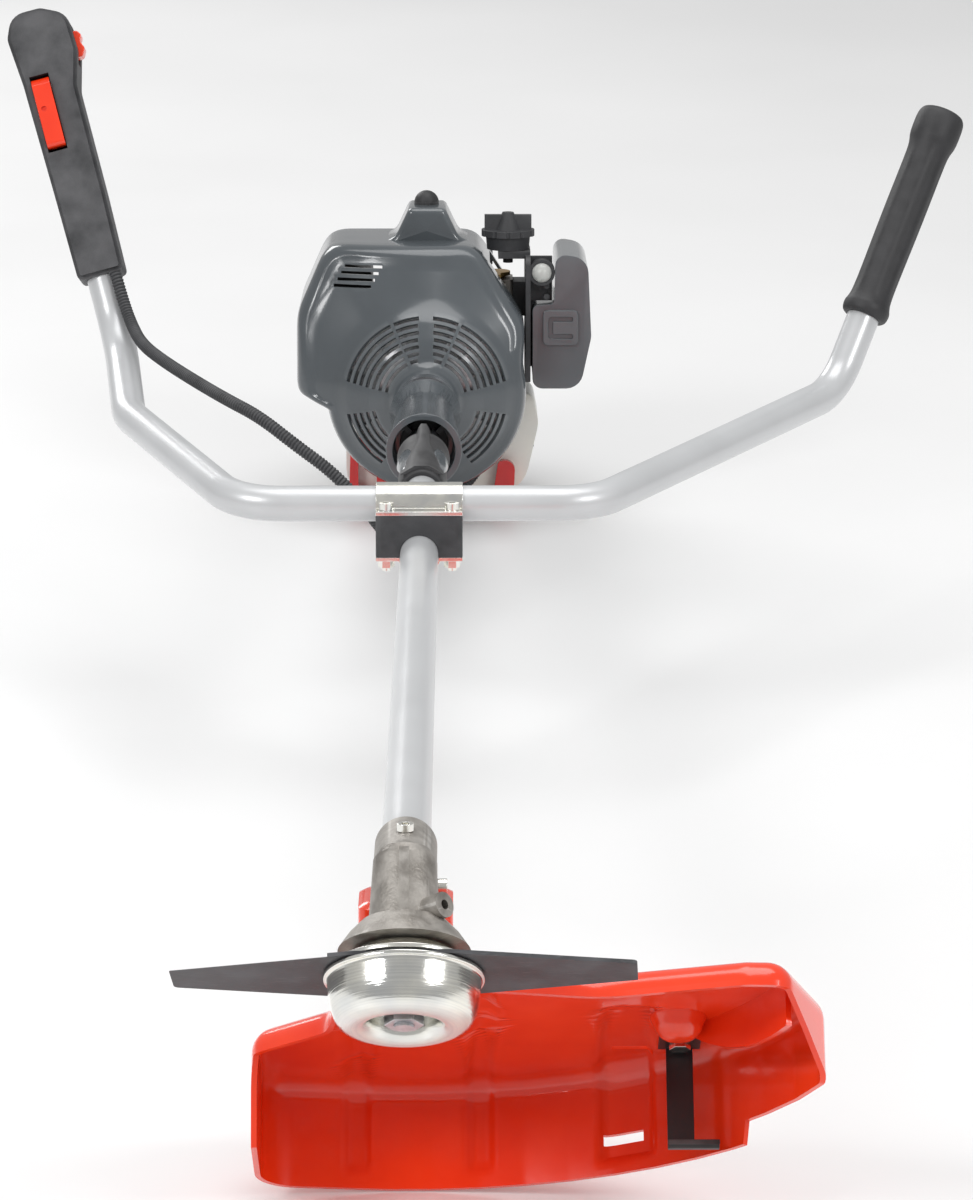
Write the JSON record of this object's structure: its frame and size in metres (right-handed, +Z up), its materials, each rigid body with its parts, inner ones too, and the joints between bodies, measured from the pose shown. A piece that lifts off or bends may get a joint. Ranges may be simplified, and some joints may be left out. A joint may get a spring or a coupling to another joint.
{
  "type": "brush cutter",
  "caption": "Petrol brush cutter: two-tooth blade on an angled gear head, long drive tube, bike handlebar, throttle grip and rear two-stroke engine.",
  "frame": {"origin": "centre of the engine foot's bottom face, on the surface the machine stands on", "axes": "+Z up; the drive tube runs back along +Y, sloping down 4.6 degrees, from the blade at -Y to the engine at the origin; +X is the side of the plain grip and the air filter"},
  "size_m": [0.702, 1.6738, 0.4591],
  "materials": {
    "blade_steel": "matt black painted spring steel",
    "zinc_plate": "bright zinc plate",
    "steel": "machined steel",
    "cast_alloy": "as-cast, dull",
    "bronze": "sintered bronze",
    "tube_paint": "silver-white satin paint",
    "orange_plastic": "glossy orange-red moulding",
    "black_steel": "black painted sheet steel",
    "black_plastic": "fine-grained black nylon",
    "rubber": "black rubber",
    "grey_plastic": "glossy dark grey nylon",
    "bare_alloy": "die-cast alloy",
    "ceramic": "glazed white ceramic",
    "foam": "open-cell foam",
    "clear_bulb": "milky clear rubber",
    "tank_plastic": "translucent white polyethylene",
    "red_plastic": "glossy red moulding"
  },
  "bodies": {
    "frame": {"gear_head_case": "cast_alloy", "head_bearings": "steel", "tube_bushes": "bronze", "drive_tube": "tube_paint", "guard": "orange_plastic", "guard_plate": "zinc_plate", "line_knife": "black_steel", "head_screws": "zinc_plate", "clamp_base": "black_plastic", "clamp_cap": "zinc_plate", "clamp_strap": "zinc_plate", "clamp_bolts": "zinc_plate", "handlebar": "tube_paint", "plain_grip": "rubber", "control_handle_front": "black_plastic", "control_handle_back": "black_plastic", "handle_screws": "zinc_plate", "throttle_conduit": "black_plastic", "harness_clamp": "steel", "tube_collar": "grey_plastic", "av_rubber": "rubber", "fan_cowl": "grey_plastic", "engine_bearings": "steel", "crankcase": "cast_alloy", "engine_cylinder": "bare_alloy", "ignition_coil": "black_plastic", "spark_plug": "ceramic", "plug_boot": "rubber", "cylinder_shroud": "grey_plastic", "muffler": "black_steel", "carburetor": "cast_alloy", "filter_base": "black_plastic", "air_filter": "foam", "filter_cover": "grey_plastic", "starter_housing": "black_plastic", "fuel_tank": "tank_plastic", "foot": "red_plastic"},
    "cutter": {"blade": "blade_steel", "thrust_plate": "zinc_plate", "rider_cup": "zinc_plate", "nut_and_washer": "steel", "output_shaft": "steel", "crown_gear": "steel"},
    "driveline": {"pinion_gear": "steel", "drive_shaft": "steel", "clutch_drum": "steel"},
    "crank": {"clutch_shoes": "steel", "flywheel_fan": "bare_alloy", "crankshaft": "steel"},
    "piston_and_rod": {"piston": "bare_alloy", "connecting_rod": "steel"},
    "trigger": {"throttle_trigger": "orange_plastic"},
    "lockout": {"lockout_lever": "black_plastic"},
    "switch": {"stop_switch": "orange_plastic"},
    "throttle": {"throttle_barrel": "bronze"},
    "primer": {"primer_bulb": "clear_bulb"},
    "choke": {"choke_knob": "black_plastic"},
    "pulley": {"starter_pulley": "black_plastic"},
    "pull_grip": {"starter_grip": "black_plastic"},
    "tank_cap": {"fuel_cap": "black_plastic"}
  },
  "joints": [
    {"name": "blade_spin", "type": "hinge", "parent": "frame", "child": "cutter", "pos_m": [0, -1.54609, 0.18684], "axis": [0, 0.6639, 0.7478], "continuous": true},
    {"name": "driveline_spin", "type": "hinge", "parent": "frame", "child": "driveline", "pos_m": [0, -0.81515, 0.16809], "axis": [0, 0.9968, -0.0802], "continuous": true},
    {"name": "crank_spin", "type": "hinge", "parent": "frame", "child": "crank", "pos_m": [0, -0.01772, 0.10393], "axis": [0, 0.9968, -0.0802], "continuous": true},
    {"name": "piston_slide", "type": "slide", "parent": "frame", "child": "piston_and_rod", "axis": [0, 0.0802, 0.9968], "range_m": [0, 0.03]},
    {"name": "trigger_squeeze", "type": "hinge", "parent": "frame", "child": "trigger", "pos_m": [-0.2774, -0.33689, 0.40397], "axis": [0.9659, 0.0614, 0.2513], "range_deg": [0, 11], "stiffness_Nm_per_rad": 0.25, "springref_deg": -11.46},
    {"name": "lockout_press", "type": "hinge", "parent": "frame", "child": "lockout", "pos_m": [-0.26209, -0.31751, 0.40007], "axis": [-0.9659, -0.0614, -0.2513], "range_deg": [0, 8], "stiffness_Nm_per_rad": 0.25, "springref_deg": -11.46},
    {"name": "stop_slide", "type": "slide", "parent": "frame", "child": "switch", "axis": [-0.2555, 0.3807, 0.8887], "range_m": [-0.004, 0.004]},
    {"name": "throttle_turn", "type": "hinge", "parent": "frame", "child": "throttle", "pos_m": [0.056, 0.00153, 0.1686], "axis": [0, 0.0802, 0.9968], "range_deg": [0, 66]},
    {"name": "primer_press", "type": "slide", "parent": "frame", "child": "primer", "axis": [0, 0.9968, -0.0802], "range_m": [0, 0.003], "stiffness_N_per_m": 600, "springref_m": -0.002},
    {"name": "choke_turn", "type": "hinge", "parent": "frame", "child": "choke", "pos_m": [0.066, -0.00874, 0.21557], "axis": [0, 0.0802, 0.9968], "range_deg": [0, 90]},
    {"name": "starter_pull", "type": "slide", "parent": "frame", "child": "pull_grip", "axis": [0, 0.0802, 0.9968], "range_m": [0, 0.11], "stiffness_N_per_m": 60, "springref_m": -0.05},
    {"name": "pulley_turn", "type": "hinge", "parent": "frame", "child": "pulley", "pos_m": [0, 0.05604, 0.098], "axis": [0, 0.9968, -0.0802], "range_deg": [-230, 0]},
    {"name": "tank_cap_turn", "type": "hinge", "parent": "frame", "child": "tank_cap", "pos_m": [0.066, 0.03711, 0.03732], "axis": [0, 0.9968, -0.0802], "range_deg": [0, 270]}
  ],
  "couplings": [
    {"joint": "driveline_spin", "follows": "blade_spin", "ratio": 1.3571},
    {"joint": "throttle_turn", "follows": "trigger_squeeze", "ratio": 6},
    {"joint": "pulley_turn", "follows": "starter_pull", "rad_per_m": -35.714}
  ]
}
